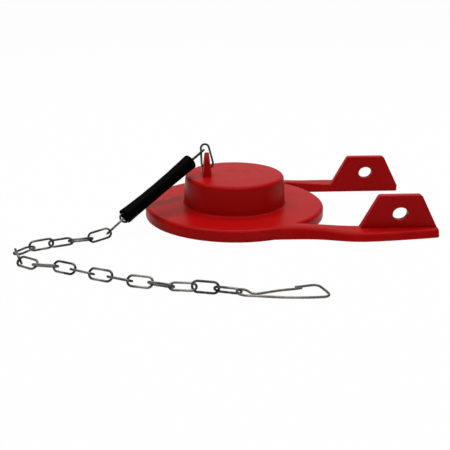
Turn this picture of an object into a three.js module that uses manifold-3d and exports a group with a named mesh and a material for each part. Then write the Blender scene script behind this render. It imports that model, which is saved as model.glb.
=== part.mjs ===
// A red rubber flapper for a cistern's flush valve, with its chain, chain sleeve and snap clip.
// It stands as it would on a table: the sealing disc down, the two ear arms towards +X, and the
// chain running down through its sleeve, round in a turn and forward along the table.
// Millimetres, +Z up. Inside this file the disc's centre on the table is (0, 0, 0).

import * as THREE from 'three';
import { mergeVertices } from 'three/addons/utils/BufferGeometryUtils.js';
import Module from 'manifold-3d';

// Sealing disc
const discRadius = 48;
const discThickness = 6.3;
const discTopRound = 2;
const discBottomRound = 0.6;

// Drum: the air cup on top of the disc, open underneath
const drumTopRadius = 26.5;
const drumBaseRadius = 27.3;
const drumTop = 22;
const drumTopRound = 2.1;
const drumFootFillet = 1.2;
const drumWall = 3;
const drumRoof = 3;
const hollowCornerRound = 2;
const hollowMouthChamfer = 0.8;

// Arms: outer edges through four places, seen from above
const armInnerEdge = 37;
const armRoot = { x: 12, y: 44.8 };
const armWaist = { x: 37, y: 45.4 };
const armSwell = { x: 61, y: 50.3 };
const armEnd = { x: 99.6, y: 46.2 };
const armThickness = 4.3;
const armInnerRound = 0.9;
const armOuterRound = 2.2;
const armBottomRound = 0.5;
const armOuterDraft = 0.7;
const armEndRound = 1.8;

// Ears: the upright plates that hang on the valve's pegs
const earThickness = 4.4;
const earTop = 20.8;
const earBaseStart = 60.2;
const earBaseEnd = 99;
const earTopStart = 69.2;
const earTopEnd = 90.5;
const earCornerRound = 1.1;
const earEdgeRound = 0.5;
const earSunk = 1.3;
const pegHoleX = 80.2;
const pegHoleHeight = 11.2;
const pegHoleLength = 7.9;
const pegHoleWidth = 6.7;
const pegRimRound = 0.5;

// Post: the upright lug on the drum that the chain hooks on to
const postX = -14.8;
const postTop = 33.8;
const postBaseThickness = 5;
const postTopThickness = 2.2;
const postBaseDepth = 12.6;
const postTopDepth = 9.6;
const postCornerRound = 1.1;
// how far round the half-circle crown goes before its flat, narrow top
const postCrownSweep = 80;
const postSunk = 1;
const postHoleRise = 3.2;
const postHoleRadius = 2.2;

// Chain of welded oval links
const wire = 1.1;
const linkLength = 12.6;
const linkWidth = 5.8;
const linkPlay = 0.8;
// the play that is left where the chain hangs taut
const tautPlay = 0.35;
// the least height a lying link's middle keeps, held up by its neighbours
const lyingHeight = 2.4;

// Post link: the longer link through the post
const postLinkLength = 14.4;
const postLinkWidth = 7.2;
const postLinkTopWidth = 5.4;
const postLinkLean = 8.5;
const postLinkShift = 0.65;
const postLinkHang = 2.6;

// Sleeve: the soft tube that keeps the chain from catching under the flapper
const sleeveOuterRadius = 3.7;
const sleeveWall = 0.5;
const sleeveLength = 48.4;
const sleeveHeading = -138.8;
const sleeveSlope = 25;
const sleeveRoll = 38;
const sleeveEndBare = 3.2;

// Snap clip: one bent wire with an eye, a spring arm and a latch hook
const clipWire = 1.1;
const clipHeading = 0;
const clipDip = 2.4;
const clipPlay = 1;

// How finely round things are divided
const discSegments = 64;
const arcSteps = 4;
const armStations = 15;
const postCrownSteps = 5;
const postHoleSegments = 20;
const linkArcSteps = 6;
const pegHoleSegments = 24;
const sleeveSegments = 32;
const wireSides = 8;
const clipSteps = 92;

const quarterTurn = 90;
const rad = THREE.MathUtils.degToRad;
const up = new THREE.Vector3(0, 0, 1);

const wasm = await Module();
wasm.setup();

function toManifold(geometry) {
	const bare = geometry.clone();
	bare.deleteAttribute('normal');
	bare.deleteAttribute('uv');
	const merged = mergeVertices(bare, 1e-4);
	const corners = merged.index.array;
	const triVerts = [];
	for (let i = 0; i < corners.length; i += 3) {
		const [a, b, c] = [corners[i], corners[i + 1], corners[i + 2]];
		// the triangles that close up on a revolve's axis are left out
		if (a !== b && b !== c && c !== a) triVerts.push(a, b, c);
	}
	const vertProperties = new Float32Array(merged.attributes.position.array);
	const mesh = new wasm.Mesh({ numProp: 3, vertProperties, triVerts: new Uint32Array(triVerts) });
	return new wasm.Manifold(mesh);
}

function toGeometry(manifold) {
	const { vertProperties, triVerts } = manifold.getMesh();
	const geometry = new THREE.BufferGeometry();
	geometry.setAttribute('position', new THREE.BufferAttribute(new Float32Array(vertProperties), 3));
	geometry.setIndex(new THREE.BufferAttribute(new Uint32Array(triVerts), 1));
	geometry.computeVertexNormals();
	return geometry;
}

function join(geometries) {
	return geometries.map(toManifold).reduce((whole, next) => whole.add(next));
}

// Points of an arc in a profile, from one angle to another in degrees
function arc(x, y, radius, from, to, steps = arcSteps) {
	const points = [];
	for (let i = 0; i <= steps; i ++) {
		const angle = rad(from + (to - from) * i / steps);
		points.push(new THREE.Vector2(x + radius * Math.cos(angle), y + radius * Math.sin(angle)));
	}
	return points;
}

// A skin over equal rings of points, which turn anticlockwise seen from the last ring.
// A closed one joins its last ring to its first, and an open one has flat, convex ends.
function loft(rings, closed = false) {
	const count = rings[0].length;
	const index = [];
	const last = (rings.length - 1) * count;
	for (let r = 0; r < rings.length - (closed ? 0 : 1); r ++) {
		const next = (r + 1) % rings.length;
		for (let i = 0; i < count; i ++) {
			const j = (i + 1) % count;
			index.push(r * count + i, r * count + j, next * count + j);
			index.push(r * count + i, next * count + j, next * count + i);
		}
	}
	for (let i = 1; ! closed && i + 1 < count; i ++) {
		index.push(0, i + 1, i);
		index.push(last, last + i, last + i + 1);
	}
	const geometry = new THREE.BufferGeometry();
	geometry.setFromPoints(rings.flat());
	geometry.setIndex(index);
	geometry.computeVertexNormals();
	return geometry;
}

function mirroredInY(geometry) {
	const mirrored = geometry.index ? geometry.toNonIndexed() : geometry.clone();
	const place = mirrored.attributes.position;
	for (let i = 0; i < place.count; i += 3) {
		const corners = [0, 1, 2].map((k) => new THREE.Vector3().fromBufferAttribute(place, i + k));
		corners.reverse().forEach((p, k) => place.setXYZ(i + k, p.x, - p.y, p.z));
	}
	return mirrored;
}

function revolve(profile) {
	return new THREE.LatheGeometry(profile, discSegments).rotateX(Math.PI / 2);
}

// Disc and drum in one revolve, from the hollow's roof out under the disc and up over the drum
function discAndDrum() {
	const roof = drumTop - drumRoof;
	const hollowTop = drumTopRadius - drumWall;
	const hollowBase = drumBaseRadius - drumWall;
	const profile = [
		new THREE.Vector2(0, roof),
		...arc(hollowTop - hollowCornerRound, roof - hollowCornerRound, hollowCornerRound, 90, 0),
		new THREE.Vector2(hollowBase, hollowMouthChamfer),
		new THREE.Vector2(hollowBase + hollowMouthChamfer, 0),
		...arc(discRadius - discBottomRound, discBottomRound, discBottomRound, - 90, 0, 2),
		...arc(discRadius - discTopRound, discThickness - discTopRound, discTopRound, 0, 90),
		...arc(drumBaseRadius + drumFootFillet, discThickness + drumFootFillet, drumFootFillet, 270, 180),
		...arc(drumTopRadius - drumTopRound, drumTop - drumTopRound, drumTopRound, 0, 90),
		new THREE.Vector2(0, drumTop),
	];
	return revolve(profile);
}

// Section of the +Y arm at x: flat inside face, well rounded outer top edge
function armSection(x, outer, top, inset) {
	const inner = armInnerEdge + inset / 2;
	const edge = outer - inset;
	const crown = top - inset / 2;
	const points = [
		new THREE.Vector2(inner, 0),
		...arc(edge - armBottomRound, armBottomRound, armBottomRound, - 90, 0, 1),
		...arc(edge - armOuterDraft - armOuterRound, crown - armOuterRound, armOuterRound, 0, 90),
		...arc(inner + armInnerRound, crown - armInnerRound, armInnerRound, 90, 180, 2),
	];
	return points.map((p) => new THREE.Vector3(x, p.x, p.y));
}

function arm() {
	const places = [armRoot, armWaist, armSwell, armEnd].map((p) => new THREE.Vector2(p.x, p.y));
	const edge = new THREE.SplineCurve(places);
	const straightEnd = armEnd.x - armEndRound;
	const stations = edge.getPoints(armStations).filter((p) => p.x < straightEnd);
	const topAt = (x) => {
		const share = THREE.MathUtils.smoothstep(x, armWaist.x - armRoot.x, armSwell.x);
		return THREE.MathUtils.lerp(discThickness, armThickness, share);
	};
	const rings = stations.map((p) => armSection(p.x, p.y, topAt(p.x), 0));
	for (const p of arc(straightEnd, 0, armEndRound, 90, 0)) {
		rings.push(armSection(p.x, armEnd.y, armThickness, armEndRound - p.y));
	}
	return loft(rings);
}

// Ear plate before its peg hole is cut, drawn from the side and pushed out through its thickness
function ear() {
	const foot = armThickness - earSunk;
	const rise = earTop - armThickness;
	const frontSlope = (earTopStart - earBaseStart) / rise;
	const backSlope = (earBaseEnd - earTopEnd) / rise;
	const corner = (x, y, toX, toY) => {
		const step = new THREE.Vector2(toX - x, toY - y).setLength(earCornerRound);
		return [x + step.x, y + step.y];
	};
	const shape = new THREE.Shape();
	const start = [earBaseStart - earSunk * frontSlope, foot];
	const end = [earBaseEnd + earSunk * backSlope, foot];
	shape.moveTo(...start);
	shape.lineTo(...end);
	shape.lineTo(...corner(earTopEnd, earTop, ...end));
	shape.quadraticCurveTo(earTopEnd, earTop, ...corner(earTopEnd, earTop, earTopStart, earTop));
	shape.lineTo(...corner(earTopStart, earTop, earTopEnd, earTop));
	shape.quadraticCurveTo(earTopStart, earTop, ...corner(earTopStart, earTop, ...start));
	shape.closePath();
	const plate = new THREE.ExtrudeGeometry(shape, {
		depth: earThickness - 2 * earEdgeRound,
		bevelThickness: earEdgeRound,
		bevelSize: earEdgeRound,
		bevelOffset: - earEdgeRound,
		bevelSegments: 2,
		curveSegments: arcSteps,
	});
	return plate.rotateX(Math.PI / 2).translate(0, armInnerEdge + earThickness - earEdgeRound, 0);
}

// What the oval peg hole takes out of an ear, opening out a little at both faces
function pegHole() {
	const narrow = pegHoleWidth / 2;
	const halfPlate = earThickness / 2;
	const outline = [
		new THREE.Vector2(0, - earThickness),
		new THREE.Vector2(narrow + pegRimRound, - earThickness),
		...arc(narrow + pegRimRound, pegRimRound - halfPlate, pegRimRound, 270, 180, 2),
		...arc(narrow + pegRimRound, halfPlate - pegRimRound, pegRimRound, 180, 90, 2),
		new THREE.Vector2(narrow + pegRimRound, earThickness),
		new THREE.Vector2(0, earThickness),
	];
	const bore = new THREE.LatheGeometry(outline, pegHoleSegments).scale(pegHoleLength / pegHoleWidth, 1, 1);
	return bore.translate(pegHoleX, armInnerEdge + halfPlate, pegHoleHeight);
}

// Ring of the post at height z, with its corners rounded
function postRing(z, halfThickness, halfDepth) {
	const round = Math.min(postCornerRound, 0.9 * halfThickness, 0.9 * halfDepth);
	const x = halfThickness - round;
	const y = halfDepth - round;
	const outline = [
		...arc(x, y, round, 0, 90, 2),
		...arc(- x, y, round, 90, 180, 2),
		...arc(- x, - y, round, 180, 270, 2),
		...arc(x, - y, round, 270, 360, 2),
	];
	return outline.map((p) => new THREE.Vector3(postX + p.x, p.y, z));
}

function post() {
	const crownRadius = postTopDepth / 2;
	const shoulder = postTop - crownRadius;
	const height = postTop - drumTop;
	const halfThickness = (z) => {
		const share = (z - drumTop) / height;
		return THREE.MathUtils.lerp(postBaseThickness, postTopThickness, share) / 2;
	};
	const rings = [
		postRing(drumTop - postSunk, halfThickness(drumTop), postBaseDepth / 2),
		postRing(drumTop, halfThickness(drumTop), postBaseDepth / 2),
	];
	for (const p of arc(0, shoulder, crownRadius, 0, postCrownSweep, postCrownSteps)) {
		rings.push(postRing(p.y, halfThickness(p.y), p.x));
	}
	return loft(rings);
}

function postHole() {
	const reach = 3 * postBaseThickness;
	const bore = new THREE.CylinderGeometry(postHoleRadius, postHoleRadius, reach, postHoleSegments);
	return bore.rotateZ(Math.PI / 2).translate(postX, 0, drumTop + postHoleRise);
}

function flapper() {
	const sides = [arm(), ear()];
	const body = join([discAndDrum(), post(), ...sides, ...sides.map(mirroredInY)]);
	return body.subtract(join([postHole(), pegHole(), mirroredInY(pegHole())]));
}

// One welded link, lying flat in XY with its length along X. It is oval, or pear-shaped where its
// +X end is narrower.
function ovalLink(length, width, endWidth = width) {
	const rings = [];
	for (const [side, across] of [[1, endWidth], [- 1, width]]) {
		for (const turn of arc(0, 0, 1, - 90, 90, linkArcSteps)) {
			const outward = new THREE.Vector3(side * turn.x, side * turn.y, 0);
			const middle = outward.clone().multiplyScalar((across - wire) / 2);
			middle.x += side * (length - across) / 2;
			const ring = [];
			for (let i = 0; i < wireSides; i ++) {
				const angle = 2 * Math.PI * i / wireSides;
				const point = middle.clone().addScaledVector(outward, wire / 2 * Math.cos(angle));
				ring.push(point.addScaledVector(up, - wire / 2 * Math.sin(angle)));
			}
			rings.push(ring);
		}
	}
	return loft(rings, true);
}

// A direction from its heading, seen from above, and how far it slopes down, in degrees
function direction(heading, slope) {
	const flat = Math.cos(rad(slope));
	const y = flat * Math.sin(rad(heading));
	return new THREE.Vector3(flat * Math.cos(rad(heading)), y, - Math.sin(rad(slope)));
}

// Turns a mesh so that its X runs along a direction and its Y is rolled up from the level
function aim(mesh, along, roll) {
	const level = new THREE.Vector3().crossVectors(up, along).normalize();
	const across = level.applyAxisAngle(along, rad(roll));
	const normal = new THREE.Vector3().crossVectors(along, across);
	mesh.quaternion.setFromRotationMatrix(new THREE.Matrix4().makeBasis(along, across, normal));
}

const rubber = new THREE.MeshStandardMaterial({ color: 0xa8141a, roughness: 0.45, metalness: 0 });
const vinyl = new THREE.MeshStandardMaterial({ color: 0x101012, roughness: 0.6, metalness: 0 });
const steel = new THREE.MeshStandardMaterial({ color: 0x6f6c68, roughness: 0.35, metalness: 1 });

const model = new THREE.Group();

function addMesh(name, geometry, material) {
	const mesh = new THREE.Mesh(geometry, material);
	mesh.name = name;
	model.add(mesh);
	return mesh;
}

addMesh('flapper', toGeometry(flapper()), rubber);

// Post link: through the post's hole, standing in the XZ plane and leaning back over the drum
const lean = direction(180, postLinkLean - quarterTurn);
const throughPost = new THREE.Vector3(postX + postLinkShift, 0, drumTop + postHoleRise);
const postLink = addMesh('post_link', ovalLink(postLinkLength, postLinkWidth, postLinkTopWidth), steel);
postLink.position.copy(throughPost).addScaledVector(lean, (postLinkLength - wire) / 2);
aim(postLink, lean, quarterTurn);

// Where the chain hangs on the post link: on the side of it that leans away from the post
const hang = postLink.position.clone().addScaledVector(lean, postLinkHang);
const sideways = new THREE.Vector3(- Math.cos(rad(postLinkLean)), 0, - Math.sin(rad(postLinkLean)));
const lowBend = (postLinkWidth - postLinkLength) / 2;
const highBend = (postLinkLength - postLinkTopWidth) / 2;
const hangShare = (postLinkHang - lowBend) / (highBend - lowBend);
const hangWidth = THREE.MathUtils.lerp(postLinkWidth, postLinkTopWidth, hangShare);
hang.addScaledVector(sideways, (hangWidth - wire) / 2);

// Each link reaches from its meeting point with the last link to its meeting point with the next
const meet = hang.clone();

function linkPitch(play) {
	return linkLength - 2 * wire - play;
}

function addLink(name, along, roll, play) {
	const link = addMesh(name, ovalLink(linkLength, linkWidth), steel);
	const pitch = linkPitch(play);
	link.position.copy(meet).addScaledVector(along, pitch / 2);
	aim(link, along, roll);
	meet.addScaledVector(along, pitch);
	return link;
}

const sleeveWay = direction(sleeveHeading, sleeveSlope);
meet.addScaledVector(sleeveWay, (tautPlay - wire) / 2 - linkPlay);
// enough pairs of links for the sleeve and its bare end, so that the chain beyond keeps its turns
const sleeveLinks = 2 * Math.ceil((sleeveLength + sleeveEndBare) / (2 * linkPitch(tautPlay)));
for (let i = 0; i < sleeveLinks; i ++) {
	addLink(`sleeve_link_${i + 1}`, sleeveWay, sleeveRoll + quarterTurn * (i % 2), tautPlay);
}

const sleeveProfile = [
	new THREE.Vector2(sleeveOuterRadius - sleeveWall, 0),
	new THREE.Vector2(sleeveOuterRadius, 0),
	new THREE.Vector2(sleeveOuterRadius, sleeveLength),
	new THREE.Vector2(sleeveOuterRadius - sleeveWall, sleeveLength),
	new THREE.Vector2(sleeveOuterRadius - sleeveWall, 0),
];
const sleeve = addMesh('chain_sleeve', new THREE.LatheGeometry(sleeveProfile, sleeveSegments), vinyl);
sleeve.position.copy(meet).addScaledVector(sleeveWay, wire + tautPlay / 2 - sleeveEndBare - sleeveLength);
sleeve.quaternion.setFromUnitVectors(new THREE.Vector3(0, 1, 0), sleeveWay);

// The links that come down from the sleeve, with how far each slopes down
const hangingLinks = [
	{ heading: - 143, slope: 30.5, roll: 35 },
	{ heading: - 154, slope: 8, roll: - 55 },
];
// The links that lie on the table, each turned about a quarter from the last
const lyingLinks = [
	{ heading: - 166, roll: 31 },
	{ heading: - 157, roll: - 22 },
	{ heading: - 154, roll: 86 },
	{ heading: - 124, roll: 4 },
	{ heading: - 72, roll: - 72 },
	{ heading: - 37, roll: 40 },
	{ heading: - 11, roll: - 30 },
	{ heading: - 30, roll: 58 },
	{ heading: - 31, roll: - 27 },
	{ heading: - 27, roll: 62 },
	{ heading: - 28, roll: - 25 },
	{ heading: - 19, roll: 58 },
	{ heading: - 23, roll: - 36 },
	{ heading: - 9, roll: 20 },
	{ heading: - 15, roll: 74 },
	{ heading: - 18, roll: - 48 },
];

let number = 1;
for (const { heading, slope, roll } of hangingLinks) {
	addLink(`chain_link_${String(number).padStart(2, '0')}`, direction(heading, slope), roll, linkPlay);
	number += 1;
}
let lying;
for (const { heading, roll } of lyingLinks) {
	lying = addLink(`chain_link_${String(number).padStart(2, '0')}`, direction(heading, 0), roll, linkPlay);
	const resting = (linkWidth - wire) / 2 * Math.abs(Math.sin(rad(roll))) + wire / 2;
	lying.position.z = Math.max(resting, lyingHeight);
	number += 1;
}

// Snap clip, drawn flat with the chain's meeting point at its origin: the spring arm's tip first,
// then the neck, the eye, the back, the nose and the latch hook's end
const clipRoute = [
	[27.8, 4.5],
	[24.8, 3.4],
	[21.4, 2.5],
	[16.9, 1.1],
	[12.5, - 0.7],
	[9.1, - 2],
	[7.1, - 2.3],
	[5.9, - 1.6],
	[4.9, - 0.1],
	[3.8, 1.4],
	[2.4, 2.1],
	[1, 1.7],
	[0.1, 0.3],
	[0.3, - 1.9],
	[1.5, - 3.5],
	[3.4, - 4.2],
	[8, - 4.6],
	[12, - 5],
	[18.1, - 5.5],
	[24.3, - 5.5],
	[30.6, - 5.1],
	[34.4, - 4.6],
	[36.8, - 4],
	[38, - 2.8],
	[38.3, - 1.1],
	[37.9, 1],
	[37.1, 3.3],
	[36.3, 5.7],
	[35.3, 7.3],
	[33.8, 7.9],
	[31.3, 7.3],
	[28.2, 6.2],
	[25.2, 5.3],
];
const clipCurve = new THREE.CatmullRomCurve3(clipRoute.map(([x, y]) => new THREE.Vector3(x, y, 0)));
const clipSection = new THREE.Shape(arc(0, 0, clipWire / 2, 0, 360, wireSides).slice(0, - 1));
const clipGeometry = new THREE.ExtrudeGeometry(clipSection, { steps: clipSteps, extrudePath: clipCurve });
const clip = addMesh('snap_clip', clipGeometry, steel);
const clipWay = direction(clipHeading, clipDip);
clip.position.set(meet.x, meet.y, lying.position.z).addScaledVector(clipWay, - clipPlay);
aim(clip, clipWay, 0);

// The whole model stands with the middle of its footprint at the origin
model.updateMatrixWorld(true);
const bounds = new THREE.Box3().setFromObject(model, true);
const centre = bounds.getCenter(new THREE.Vector3());
model.position.set(- centre.x, - centre.y, - bounds.min.z);

export default model;
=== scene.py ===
"""A red rubber valve flapper with its chain, black chain sleeve and wire snap clip, dressed for a
studio picture. Metres, +Z up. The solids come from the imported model. The rubber body keeps its
solid, and every wire piece and the sleeve get a finer shape in the same place."""

import math

import bmesh
import bpy
import numpy as np
from mathutils import Matrix, Vector


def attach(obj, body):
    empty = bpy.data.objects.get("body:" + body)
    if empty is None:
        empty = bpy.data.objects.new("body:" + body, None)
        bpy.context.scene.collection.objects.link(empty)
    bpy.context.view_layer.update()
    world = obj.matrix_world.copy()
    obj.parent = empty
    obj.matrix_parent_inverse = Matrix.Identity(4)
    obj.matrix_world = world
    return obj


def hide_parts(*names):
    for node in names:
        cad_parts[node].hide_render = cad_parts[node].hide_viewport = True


MM = 0.001
WHITE = (1, 1, 1, 1)

# Rubber body
DISC_CENTRE = Vector((3.953, 33.833, 0)) * MM
MOULD_EDGE = 0.22 * MM
EDGE_STEPS = 3
SHARP_TURN = math.radians(38)
SAME_POINT = 0.005 * MM

# Painted shadow of the sleeve on the disc, along a line through its middle
SLEEVE_SHADOW_MIDDLE = (-34 * MM, 35.3 * MM)
SLEEVE_SHADOW_WAY = (0.76, 0.65)
SLEEVE_SHADOW_REACH = 16 * MM
SLEEVE_SHADOW_HALF_WIDTH = 4.4 * MM
SLEEVE_SHADOW_RAGGED = 1 * MM
# the share of the squared reach over which the painted shadow keeps its full strength
SLEEVE_SHADOW_FULL = 0.3

# Chain
WIRE_RADIUS = 0.55 * MM
WIRE_SIDES = 16
# each link's length, width and width at its upper end
LINK_SIZE = (12.6 * MM, 5.8 * MM, 5.8 * MM)
POST_LINK_SIZE = (14.4 * MM, 7.2 * MM, 5.4 * MM)
BEND_STEPS, SIDE_STEPS = 14, 10
# the seam lies this many steps before the end of a link's second side
SEAM_STEPS = 5
SEAM_WIDTH, SEAM_DEPTH = 0.5 * MM, 0.09 * MM
# a higher power keeps the painted shade, where links meet, nearer to a link's ends
KNOT_SHADE_POWER = 6

# Sleeve
SLEEVE_RADIUS = 3.68 * MM
SLEEVE_WALL = 0.46 * MM
SLEEVE_WAIST = 0.065
RIPPLE_SHARE = 0.006
# the length over which the ripple turns by one radian
RIPPLE_SCALE = 1.6 * MM
TOP_FLARE, LOW_FLARE = 0.38 * MM, 0.2 * MM
LOW_LIFT, SLEEVE_SAG = 0.45 * MM, 0.15 * MM
RIM_LENGTH = 0.2 * MM
RIM_OUTSIDE, RIM_INSIDE = 0.06 * MM, 0.04 * MM
SLEEVE_STATIONS, SLEEVE_SIDES = 64, 40

# Snap clip, from the spring arm's tip round its eye and back, in its own plane, in millimetres
CLIP_ORIGIN = Vector((-3.088, -78.027, 2.442)) * MM
CLIP_DIP = math.radians(2.4)
CLIP_STEPS = 8
CLIP_ROUTE = [
    (27.8, 4.5), (24.8, 3.4), (21.4, 2.5), (16.9, 1.1), (12.5, -0.7), (9.1, -2), (7.1, -2.3),
    (5.9, -1.6), (4.9, -0.1), (3.8, 1.4), (2.4, 2.1), (1, 1.7), (0.1, 0.3), (0.3, -1.9),
    (1.5, -3.5), (3.4, -4.2), (8, -4.6), (12, -5), (18.1, -5.5), (24.3, -5.5), (30.6, -5.1),
    (34.4, -4.6), (36.8, -4), (38, -2.8), (38.3, -1.1), (37.9, 1), (37.1, 3.3), (36.3, 5.7),
    (35.3, 7.3), (33.8, 7.9), (31.3, 7.3), (28.2, 6.2), (25.2, 5.3),
]  # fmt: skip
CUT_LENGTH = 0.1 * MM
CUT_RADIUS = 0.8 * WIRE_RADIUS

# Table
TABLE_REACH = 4.0
TABLE_DROP = 0.02 * MM

# Camera, at the photograph's angle: turns in radians, and its frame and lens in pixels
CAMERA_AZIMUTH, CAMERA_ELEVATION, CAMERA_ROLL = -0.061864, 0.330406, 0.002131
CAMERA_DISTANCE = 443.34 * MM
AIM_FROM_DISC = Vector((-5.0366, 0, -6.9837)) * MM
FRAME_PIXELS = 450
LENS_PIXELS = 809.782
SENSOR_WIDTH = 36.0


# Materials


class Signal:
    """One output of a node. Sums, differences, products and powers of it add their Math nodes."""

    def __init__(self, work, socket):
        self.work = work
        self.socket = socket

    def _math(self, operation, *values):
        return self.work.node("ShaderNodeMath", {"operation": operation}, dict(enumerate(values)))

    def __add__(self, other):
        return self._math("ADD", self, other)

    __radd__ = __add__

    def __sub__(self, other):
        return self._math("SUBTRACT", self, other)

    def __rsub__(self, other):
        return self._math("SUBTRACT", other, self)

    def __mul__(self, other):
        return self._math("MULTIPLY", self, other)

    __rmul__ = __mul__

    def __pow__(self, power):
        return self._math("POWER", self, power)


class NodeWork:
    """A node tree, with the one way in which its nodes are made and linked."""

    def __init__(self, tree):
        self.tree = tree

    def node(self, kind, settings=None, values=None, output=0):
        """Adds a node, sets it up, fills its sockets with numbers or links, and gives one output."""
        made = self.tree.nodes.new(kind)
        for key, setting in (settings or {}).items():
            setattr(made, key, setting)
        for key, value in (values or {}).items():
            self.feed(made.inputs[key], value)
        return Signal(self, made.outputs[output])

    def feed(self, socket, value):
        """Links a signal to a socket, or writes a plain value into it."""
        if isinstance(value, Signal):
            self.tree.links.new(value.socket, socket)
        else:
            socket.default_value = value


def socket_name(key):
    """The shader's own name for a socket: specular_ior_level is Specular IOR Level."""
    return key.replace("_", " ").title().replace("Ior", "IOR")


class Finish(NodeWork):
    """A procedural material: its Principled shader, and the nodes that feed it."""

    def __init__(self, name, **constants):
        self.material = bpy.data.materials.new(name)
        self.material.use_nodes = True
        super().__init__(self.material.node_tree)
        self.shader = self.tree.nodes["Principled BSDF"]
        self.set(**constants)

    def set(self, **values):
        """Gives sockets of the shader a number or a signal."""
        for key, value in values.items():
            self.feed(self.shader.inputs[socket_name(key)], value)

    def place(self):
        """Where on the object a point lies, in metres."""
        return self.node("ShaderNodeTexCoord", output="Object")

    def noise(self, size, detail=2.0, roughness=0.5, place=None):
        """Soft noise from 0 to 1, with patches of about this size."""
        values = {"Scale": 1 / size, "Detail": detail, "Roughness": roughness}
        return self.node("ShaderNodeTexNoise", None, {"Vector": place or self.place(), **values})

    def between(self, signal, low, high):
        """A smooth 0 to 1 as a signal goes from low to high, or from high to low if low is more."""
        settings = {"clamp": True, "interpolation_type": "SMOOTHSTEP"}
        return self.node("ShaderNodeMapRange", settings, {0: signal, 1: low, 2: high})

    def blend(self, factor, a, b):
        """Mixes two colours, each a triple or a signal."""
        a, b = ((*c, 1) if isinstance(c, tuple) else c for c in (a, b))
        settings = {"data_type": "RGBA"}
        return self.node("ShaderNodeMix", settings, {0: factor, 6: a, 7: b}, output=2)

    def bump(self, height, depth, strength):
        """A surface relief: height is a signal from 0 to 1, and depth its size in metres."""
        values = {"Height": height, "Distance": depth, "Strength": strength}
        return self.node("ShaderNodeBump", None, values)


def sleeve_shadow(finish):
    """A painted shadow of the sleeve on the disc, from under the sleeve to the drum's foot, as a
    factor.
    """
    x, y = (finish.node("ShaderNodeSeparateXYZ", None, {0: finish.place()}, i) for i in (0, 1))
    off_line = (x - SLEEVE_SHADOW_MIDDLE[0]) * SLEEVE_SHADOW_WAY[1] - (y - SLEEVE_SHADOW_MIDDLE[1]) * SLEEVE_SHADOW_WAY[0]
    along = (x - SLEEVE_SHADOW_MIDDLE[0]) * SLEEVE_SHADOW_WAY[0] + (y - SLEEVE_SHADOW_MIDDLE[1]) * SLEEVE_SHADOW_WAY[1]
    ragged = finish.noise(3 * MM, detail=3) * 2 * SLEEVE_SHADOW_RAGGED - SLEEVE_SHADOW_RAGGED
    across = finish.between((off_line + ragged) ** 2, SLEEVE_SHADOW_HALF_WIDTH**2, 0)
    return across * finish.between(along**2, SLEEVE_SHADOW_REACH**2, SLEEVE_SHADOW_FULL * SLEEVE_SHADOW_REACH**2)


def moulded_rubber():
    """Red rubber with a faint bloom, the soft mottle of a mould, a fine skin texture and a painted
    shadow of the sleeve.
    """
    deep_red, clear_red = (0.34, 0.002, 0.0024), (0.46, 0.0034, 0.0038)
    # the brown is the colour of the sleeve's painted shadow on the disc
    bloom_red, shadow_brown = (0.43, 0.012, 0.011), (0.12, 0.024, 0.015)
    finish = Finish("moulded_rubber", specular_ior_level=0.05)
    mottle = finish.noise(22 * MM, detail=3)
    bloom = finish.between(finish.noise(9 * MM, detail=5, roughness=0.62), 0.45, 0.8)
    grain = finish.noise(0.9 * MM, detail=3, roughness=0.6)
    swell = finish.noise(5 * MM)
    red = finish.blend(mottle * 0.5 + grain * 0.5, deep_red, clear_red)
    red = finish.blend(bloom * 0.25, red, bloom_red)
    finish.set(
        # painted shadow: the sleeve's shadow on the disc turns the red into a brown streak
        base_color=finish.blend(sleeve_shadow(finish) * 0.75, red, shadow_brown),
        roughness=0.28 + bloom * 0.1 + grain * 0.1,
        normal=finish.bump(grain * 0.5 + swell * 0.5, depth=0.08 * MM, strength=0.7),
    )
    return finish.material


def soft_vinyl():
    """Near-black soft tube with faint upright streaks and a little pale dust."""
    black, dusty_black = (0.0014, 0.0014, 0.0015), (0.005, 0.0048, 0.0046)
    finish = Finish("soft_vinyl", specular_ior_level=0.012)
    dust = finish.between(finish.noise(2.5 * MM, detail=5, roughness=0.7), 0.52, 0.85)
    stretch = {"Vector": finish.place(), "Scale": (1 / MM, 1 / MM, 0.04 / MM)}
    streaks = finish.noise(1.0, place=finish.node("ShaderNodeMapping", None, stretch))
    finish.set(
        base_color=finish.blend(dust * 0.5, black, dusty_black),
        roughness=0.45 + dust * 0.3,
        normal=finish.bump(streaks, depth=0.04 * MM, strength=0.4),
    )
    return finish.material


def drawn_steel(name, bright, dull):
    """Drawn wire, duller in patches, and made nearly black at the ends of links, where they meet,
    with painted shade.
    """
    knot_shade_black = (0.012, 0.0115, 0.011)
    finish = Finish(name, metallic=1.0)
    tarnish = finish.between(finish.noise(14 * MM, detail=3, roughness=0.55), 0.36, 0.6)
    drawn = finish.noise(1.2 * MM)
    # painted shade: the ends of links, where they meet, are darkened nearly to black
    painted_knot_shade = finish.node("ShaderNodeAttribute", {"attribute_name": "painted_knot_shade"}, output="Fac")
    metal = finish.blend(tarnish, bright, dull)
    finish.set(
        base_color=finish.blend(painted_knot_shade * 0.9, metal, knot_shade_black),
        roughness=0.3 + tarnish * 0.1 + drawn * 0.06,
        normal=finish.bump(drawn, depth=0.01 * MM, strength=0.3),
    )
    return finish.material


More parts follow.
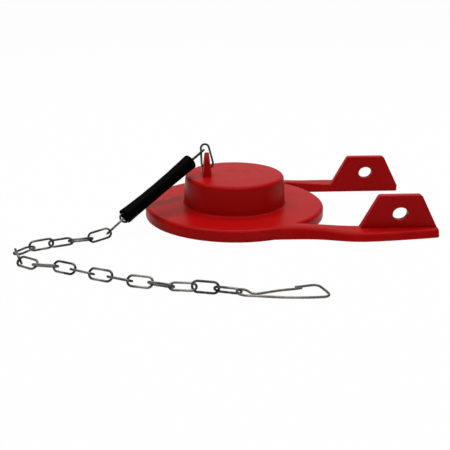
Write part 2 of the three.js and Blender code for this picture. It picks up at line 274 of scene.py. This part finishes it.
def white_table():
    """A plain table that looks white to the camera and in reflections, and keeps a soft shadow."""
    darker, paler = (0.69, 0.69, 0.69), (0.71, 0.71, 0.71)
    seen_white, mirrored_white = 0.97, 0.6
    finish = Finish("white_table", roughness=0.9, specular_ior_level=0)
    finish.set(base_color=finish.blend(finish.noise(0.4), darker, paler))
    seen = finish.node("ShaderNodeLightPath", output="Is Camera Ray")
    mirrored = finish.node("ShaderNodeLightPath", output="Is Glossy Ray")
    even = finish.node("ShaderNodeEmission", None, {"Color": WHITE, "Strength": 1.0})
    lit = Signal(finish, finish.shader.outputs[0])
    share = seen * seen_white + mirrored * mirrored_white
    mixed = finish.node("ShaderNodeMixShader", None, {0: share, 1: lit, 2: even})
    finish.feed(finish.tree.nodes["Material Output"].inputs["Surface"], mixed)
    return finish.material


# Shapes


def add_piece(name, mesh, material, body, slot, *nodes):
    """Adds a smooth mesh as a piece that stands for these solids and rides on their body."""
    piece = bpy.data.objects.new(name, mesh)
    bpy.context.scene.collection.objects.link(piece)
    mesh.materials.append(material)
    mesh.shade_smooth()
    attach(piece, body)
    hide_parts(*nodes)


def skin(name, rings, closed=False, capped=False):
    """A mesh over equal rings of points. A closed one joins its last ring to its first."""
    mesh = bpy.data.meshes.new(name)
    made = bmesh.new()
    corners = [[made.verts.new(point) for point in ring] for ring in rings]
    count = len(rings[0])
    for one, next_one in zip(corners, corners[1:] + corners[:1] if closed else corners[1:]):
        for i in range(count):
            j = (i + 1) % count
            made.faces.new((one[i], one[j], next_one[j], next_one[i]))
    if capped:
        made.faces.new(reversed(corners[0]))
        made.faces.new(corners[-1])
    bmesh.ops.recalc_face_normals(made, faces=made.faces)
    made.to_mesh(mesh)
    made.free()
    return mesh


def round_wire(path, radii, closed):
    """Rings of a round wire along a path, turned as little as they can be from one to the next."""
    rings = []
    count = len(path)
    turns = [2 * math.pi * k / WIRE_SIDES for k in range(WIRE_SIDES)]
    across = None
    for i, (centre, radius) in enumerate(zip(path, radii)):
        after = path[(i + 1) % count] if closed else path[min(i + 1, count - 1)]
        before = path[i - 1] if closed else path[max(i - 1, 0)]
        along = (after - before).normalized()
        if across is None:
            across = along.orthogonal()
        across = (across - along * across.dot(along)).normalized()
        other = along.cross(across)
        rings.append([centre + radius * (math.cos(t) * across + math.sin(t) * other) for t in turns])
    return rings


def own_axes(node):
    """A node's middle and its long, wide and thin directions, as a matrix. Its long way points up."""
    points = np.array([v.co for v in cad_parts[node].data.vertices])
    _, _, axes = np.linalg.svd(points - points.mean(0), full_matrices=False)
    reach = points @ axes.T
    middle = (reach.min(0) + reach.max(0)) / 2 @ axes
    long_way, wide_way = Vector(axes[0]), Vector(axes[1])
    if long_way.z < 0:
        long_way.negate()
    place = Matrix((long_way, wide_way, long_way.cross(wide_way))).transposed().to_4x4()
    place.translation = Vector(middle)
    return place


def link_path(length, width, top_width):
    """Centre line of a link: a half turn, a straight side, a half turn and the seamed side."""
    points = []
    for side, here, there in ((1, top_width, width), (-1, width, top_width)):
        bend = here / 2 - WIRE_RADIUS
        middle = Vector((side * (length - here) / 2, 0, 0))
        for i in range(BEND_STEPS + 1):
            angle = math.pi * (i / BEND_STEPS - 0.5)
            points.append(middle + side * bend * Vector((math.cos(angle), math.sin(angle), 0)))
        start = points[-1]
        finish = Vector((there - length, there - 2 * WIRE_RADIUS, 0)) * side / 2
        points += [start.lerp(finish, i / SIDE_STEPS) for i in range(1, SIDE_STEPS)]
    return points


def dress_link(node, size, material):
    """A finer link with the shallow butt seam that its wire has on one side, and painted shade at its
    ends.
    """
    path = link_path(*size)
    seam = path[-SEAM_STEPS]
    radii = []
    for point in path:
        near = max(0.0, 1 - (point - seam).length / SEAM_WIDTH)
        radii.append(WIRE_RADIUS - SEAM_DEPTH * near)
    mesh = skin(node + "_wire", round_wire(path, radii, closed=True), closed=True)
    # a weight for the painted shade, strongest at the link's ends, where links meet
    painted_knot_shade = mesh.attributes.new("painted_knot_shade", "FLOAT", "POINT")
    for point, note in zip(mesh.vertices, painted_knot_shade.data):
        note.value = abs(2 * point.co.x / size[0]) ** KNOT_SHADE_POWER
    mesh.transform(own_axes(node))
    add_piece(node + "_wire", mesh, material, "flapper_and_chain", "steel", node)


def dress_chain(material):
    """Every link of the chain, the longer one through the post among them."""
    for node in sorted(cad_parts):
        if "link" in node:
            dress_link(node, POST_LINK_SIZE if node == "post_link" else LINK_SIZE, material)


def sleeve_ring(x, radius, lift):
    """A ring of the sleeve at a place along it, moved up by the lift."""
    middle = Vector((x, 0, 0)) + lift
    turns = [2 * math.pi * k / SLEEVE_SIDES for k in range(SLEEVE_SIDES)]
    return [middle + radius * Vector((0, math.cos(t), math.sin(t))) for t in turns]


def dress_sleeve(material):
    """The soft tube: waisted, wider at its crisply cut ends, sagging and lifted at its lower end."""
    node = "chain_sleeve"
    place = own_axes(node)
    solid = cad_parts[node].data
    reach = max((place.inverted() @ v.co).x for v in solid.vertices)
    up = place.inverted().to_3x3() @ Vector((0, 0, 1))
    up.x = 0
    up.normalize()
    outer, inner = [], []
    for i in range(SLEEVE_STATIONS + 1):
        up_along = i / SLEEVE_STATIONS
        down_along = 1 - up_along
        x = reach * (2 * up_along - 1)
        flare = TOP_FLARE * up_along**3 + LOW_FLARE * down_along**8
        lift = LOW_LIFT * down_along**3 - SLEEVE_SAG * math.sin(math.pi * up_along)
        rim = max(0.0, 1 - (reach - abs(x)) / RIM_LENGTH)
        waist = 1 - SLEEVE_WAIST * (1 - (x / reach) ** 2) - RIPPLE_SHARE * math.cos(x / RIPPLE_SCALE)
        outside = SLEEVE_RADIUS - rim * RIM_OUTSIDE
        inside = SLEEVE_RADIUS - SLEEVE_WALL + rim * RIM_INSIDE
        outer.append(sleeve_ring(x, outside * waist + flare, up * lift))
        inner.append(sleeve_ring(x, inside * waist + flare, up * lift))
    mesh = skin(node + "_tube", outer + inner[::-1], closed=True)
    mesh.transform(place)
    add_piece(node + "_tube", mesh, material, "flapper_and_chain", "vinyl", node)


def smooth_route(points, steps):
    """A centripetal curve through the points, with this many steps between each two."""
    ends = [2 * points[0] - points[1], *points, 2 * points[-1] - points[-2]]
    route = []
    for p0, p1, p2, p3 in zip(ends, ends[1:], ends[2:], ends[3:]):
        knots = [0.0]
        for a, b in ((p0, p1), (p1, p2), (p2, p3)):
            knots.append(knots[-1] + math.sqrt((b - a).length))
        t0, t1, t2, t3 = knots
        for i in range(steps):
            t = t1 + (t2 - t1) * i / steps
            a1 = p0.lerp(p1, (t - t0) / (t1 - t0))
            a2 = p1.lerp(p2, (t - t1) / (t2 - t1))
            a3 = p2.lerp(p3, (t - t2) / (t3 - t2))
            b1 = a1.lerp(a2, (t - t0) / (t2 - t0))
            b2 = a2.lerp(a3, (t - t1) / (t3 - t1))
            route.append(b1.lerp(b2, (t - t1) / (t2 - t1)))
    route.append(points[-1])
    return route


def dress_clip(material):
    """The clip's one bent wire, with its cut ends a little rounded."""
    route = smooth_route([Vector((x, y, 0)) * MM for x, y in CLIP_ROUTE], CLIP_STEPS)
    first, last = (route[1] - route[0]).normalized(), (route[-1] - route[-2]).normalized()
    path = [route[0] - first * CUT_LENGTH, *route, route[-1] + last * CUT_LENGTH]
    radii = [CUT_RADIUS, *[WIRE_RADIUS] * len(route), CUT_RADIUS]
    mesh = skin("snap_clip_wire", round_wire(path, radii, closed=False), capped=True)
    mesh.transform(Matrix.Translation(CLIP_ORIGIN) @ Matrix.Rotation(CLIP_DIP, 4, "Y"))
    add_piece("snap_clip_wire", mesh, material, "clip", "steel", "snap_clip")


def dress_flapper(material):
    """The rubber body keeps its solid, with its mould edges softened."""
    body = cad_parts["flapper"]
    body.data.materials.clear()
    body.data.materials.append(material)
    body.data.shade_smooth()
    body.data.set_sharp_from_angle(angle=SHARP_TURN)
    weld = body.modifiers.new("weld", "WELD")
    weld.merge_threshold = SAME_POINT
    soften = body.modifiers.new("soft_edges", "BEVEL")
    soften.width = MOULD_EDGE
    soften.segments = EDGE_STEPS
    soften.limit_method = "ANGLE"
    soften.angle_limit = SHARP_TURN
    even = body.modifiers.new("even_flats", "WEIGHTED_NORMAL")
    even.keep_sharp = True


# Stage


def lay_table():
    """The table top, just under the part."""
    mesh = bpy.data.meshes.new("table")
    corners = [(x * TABLE_REACH, y * TABLE_REACH, 0) for x, y in ((-1, -1), (1, -1), (1, 1), (-1, 1))]
    mesh.from_pydata(corners, [], [(0, 1, 2, 3)])
    table = bpy.data.objects.new("table", mesh)
    bpy.context.scene.collection.objects.link(table)
    table.location.z = -TABLE_DROP
    mesh.materials.append(white_table())


def hang_lamp(name, place, target, size, watts):
    """A rectangular soft lamp that faces its target."""
    lamp = bpy.data.lights.new(name, "AREA")
    lamp.shape = "RECTANGLE"
    lamp.size, lamp.size_y = size
    lamp.energy = watts
    holder = bpy.data.objects.new(name, lamp)
    bpy.context.scene.collection.objects.link(holder)
    holder.location = place
    holder.rotation_euler = (Vector(target) - Vector(place)).to_track_quat("-Z", "Y").to_euler()


def fill_room(strength):
    """A pale room that lights the part weakly and looks white behind it."""
    world = bpy.data.worlds.new("pale_room")
    world.use_nodes = True
    bpy.context.scene.world = world
    work = NodeWork(world.node_tree)
    room = world.node_tree.nodes["Background"]
    work.feed(room.inputs["Color"], WHITE)
    work.feed(room.inputs["Strength"], strength)
    backdrop = work.node("ShaderNodeBackground", None, {"Color": WHITE, "Strength": 1.0})
    seen = work.node("ShaderNodeLightPath", output="Is Camera Ray")
    shaders = {0: seen, 1: Signal(work, room.outputs[0]), 2: backdrop}
    mixed = work.node("ShaderNodeMixShader", None, shaders)
    work.feed(world.node_tree.nodes["World Output"].inputs["Surface"], mixed)


def light_studio():
    """A wide soft light overhead, another behind, a weak one in front, and a pale room."""
    hang_lamp("overhead", (0, 0.15, 1.1), target=(0, 0, 0), size=(1.4, 1.0), watts=14.8)
    hang_lamp("back", (0.3, 1.5, 0.55), target=(0, 0, 0.02), size=(2.2, 1.0), watts=3.4)
    hang_lamp("front", (0.05, -1.0, 1.0), target=(0, 0, 0.02), size=(0.45, 0.3), watts=2.2)
    fill_room(strength=0.15)
    bpy.context.scene.view_settings.view_transform = "Standard"


def set_camera():
    """The camera at the photograph's angle, from in front and a little above."""
    away = Vector((
        math.sin(CAMERA_AZIMUTH) * math.cos(CAMERA_ELEVATION),
        -math.cos(CAMERA_AZIMUTH) * math.cos(CAMERA_ELEVATION),
        math.sin(CAMERA_ELEVATION),
    ))  # fmt: skip
    level = (-away).cross(Vector((0, 0, 1))).normalized()
    upright = level.cross(-away)
    right = math.cos(CAMERA_ROLL) * level + math.sin(CAMERA_ROLL) * upright
    upward = math.cos(CAMERA_ROLL) * upright - math.sin(CAMERA_ROLL) * level
    camera = bpy.data.objects.new("camera", bpy.data.cameras.new("camera"))
    bpy.context.scene.collection.objects.link(camera)
    place = Matrix((right, upward, away)).transposed().to_4x4()
    place.translation = DISC_CENTRE + AIM_FROM_DISC + away * CAMERA_DISTANCE
    camera.matrix_world = place
    camera.data.sensor_width = SENSOR_WIDTH
    camera.data.lens = SENSOR_WIDTH * LENS_PIXELS / FRAME_PIXELS
    camera.data.clip_start, camera.data.clip_end = 0.01, 20
    bpy.context.scene.camera = camera


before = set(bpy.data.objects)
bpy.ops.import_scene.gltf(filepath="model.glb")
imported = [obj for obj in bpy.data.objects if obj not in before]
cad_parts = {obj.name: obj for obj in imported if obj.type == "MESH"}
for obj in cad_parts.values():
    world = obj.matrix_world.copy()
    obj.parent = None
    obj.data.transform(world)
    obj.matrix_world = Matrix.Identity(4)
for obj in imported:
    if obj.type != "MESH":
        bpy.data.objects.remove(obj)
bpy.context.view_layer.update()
set_camera()
light_studio()
lay_table()
chain_steel = drawn_steel("chain_steel", bright=(0.27, 0.26, 0.24), dull=(0.055, 0.053, 0.05))
clip_steel = drawn_steel("clip_steel", bright=(0.25, 0.235, 0.205), dull=(0.14, 0.131, 0.114))
dress_flapper(moulded_rubber())
dress_chain(chain_steel)
dress_sleeve(soft_vinyl())
dress_clip(clip_steel)
